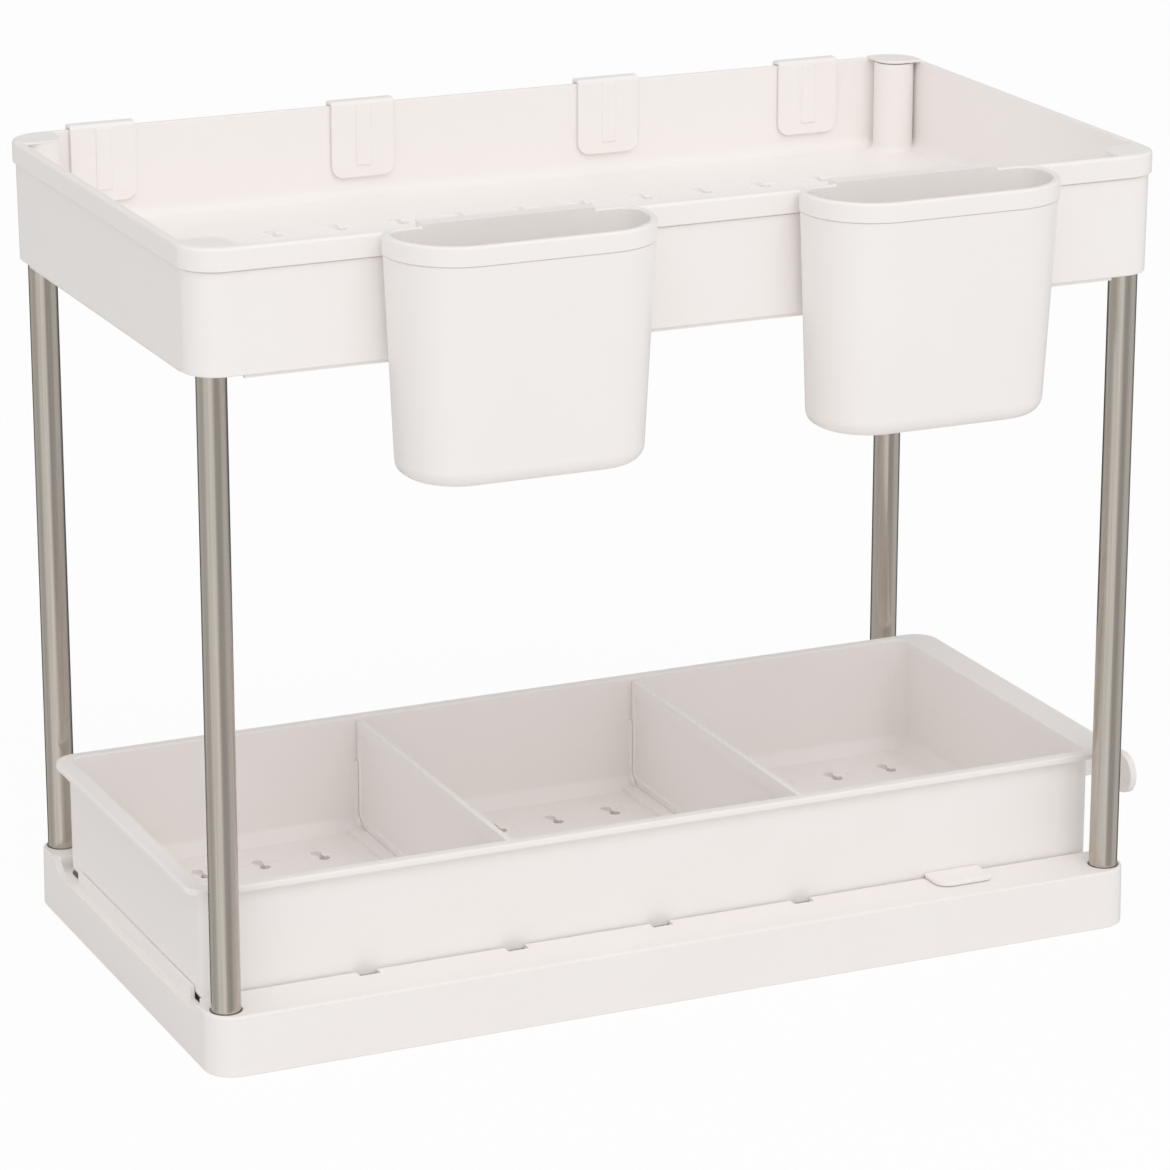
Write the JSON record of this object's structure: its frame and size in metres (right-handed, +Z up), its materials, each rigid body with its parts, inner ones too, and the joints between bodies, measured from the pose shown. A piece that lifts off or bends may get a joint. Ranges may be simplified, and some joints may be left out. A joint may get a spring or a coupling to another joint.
{
  "type": "two-tier cabinet organizer",
  "caption": "Free-standing two-tier organizer with an upper tray on steel poles, a divided pull-out drawer, cups hung on the front rim and hooks on the rear rim.",
  "frame": {"origin": "on the surface that the organizer stands on, under the middle of the base", "axes": "+X along the organizer, the way the drawer pulls out; +Y towards the hooks at the rear; +Z up"},
  "size_m": [0.425, 0.273, 0.3253],
  "materials": {
    "white_plastic": "warm white injection-moulded polypropylene, satin",
    "steel_tube": "stainless steel tube, brushed along its length"
  },
  "bodies": {
    "frame": {"base_frame": "white_plastic", "pole_front_left": "steel_tube", "pole_front_right": "steel_tube", "pole_rear_left": "steel_tube", "pole_rear_right": "steel_tube", "upper_tray": "white_plastic", "cap_front_left": "white_plastic", "cap_front_right": "white_plastic", "cap_rear_left": "white_plastic", "cap_rear_right": "white_plastic"},
    "drawer": {"drawer": "white_plastic", "drawer_pull": "white_plastic"},
    "drawer_stop": {"drawer_stop": "white_plastic"},
    "divider_left": {"divider_left": "white_plastic"},
    "divider_right": {"divider_right": "white_plastic"},
    "cup_left": {"cup_left": "white_plastic"},
    "cup_right": {"cup_right": "white_plastic"},
    "hook_1": {"hook_1": "white_plastic"},
    "hook_2": {"hook_2": "white_plastic"},
    "hook_3": {"hook_3": "white_plastic"},
    "hook_4": {"hook_4": "white_plastic"}
  },
  "joints": [
    {"name": "drawer_slide", "type": "slide", "parent": "frame", "child": "drawer", "axis": [1, 0, 0], "range_m": [0, 0.3]},
    {"name": "divider_left_lift", "type": "slide", "parent": "drawer", "child": "divider_left", "axis": [0, 0, 1], "range_m": [0, 0.055]},
    {"name": "divider_right_lift", "type": "slide", "parent": "drawer", "child": "divider_right", "axis": [0, 0, 1], "range_m": [0, 0.055]},
    {"name": "drawer_stop_lift", "type": "slide", "parent": "frame", "child": "drawer_stop", "axis": [0, 0, 1], "range_m": [0, 0.012]},
    {"name": "cup_left_lift", "type": "slide", "parent": "frame", "child": "cup_left", "axis": [0, 0, 1], "range_m": [0, 0.04]},
    {"name": "cup_right_lift", "type": "slide", "parent": "frame", "child": "cup_right", "axis": [0, 0, 1], "range_m": [0, 0.04]},
    {"name": "hook_1_lift", "type": "slide", "parent": "frame", "child": "hook_1", "axis": [0, 0, 1], "range_m": [0, 0.045]},
    {"name": "hook_2_lift", "type": "slide", "parent": "frame", "child": "hook_2", "axis": [0, 0, 1], "range_m": [0, 0.045]},
    {"name": "hook_3_lift", "type": "slide", "parent": "frame", "child": "hook_3", "axis": [0, 0, 1], "range_m": [0, 0.045]},
    {"name": "hook_4_lift", "type": "slide", "parent": "frame", "child": "hook_4", "axis": [0, 0, 1], "range_m": [0, 0.045]}
  ]
}
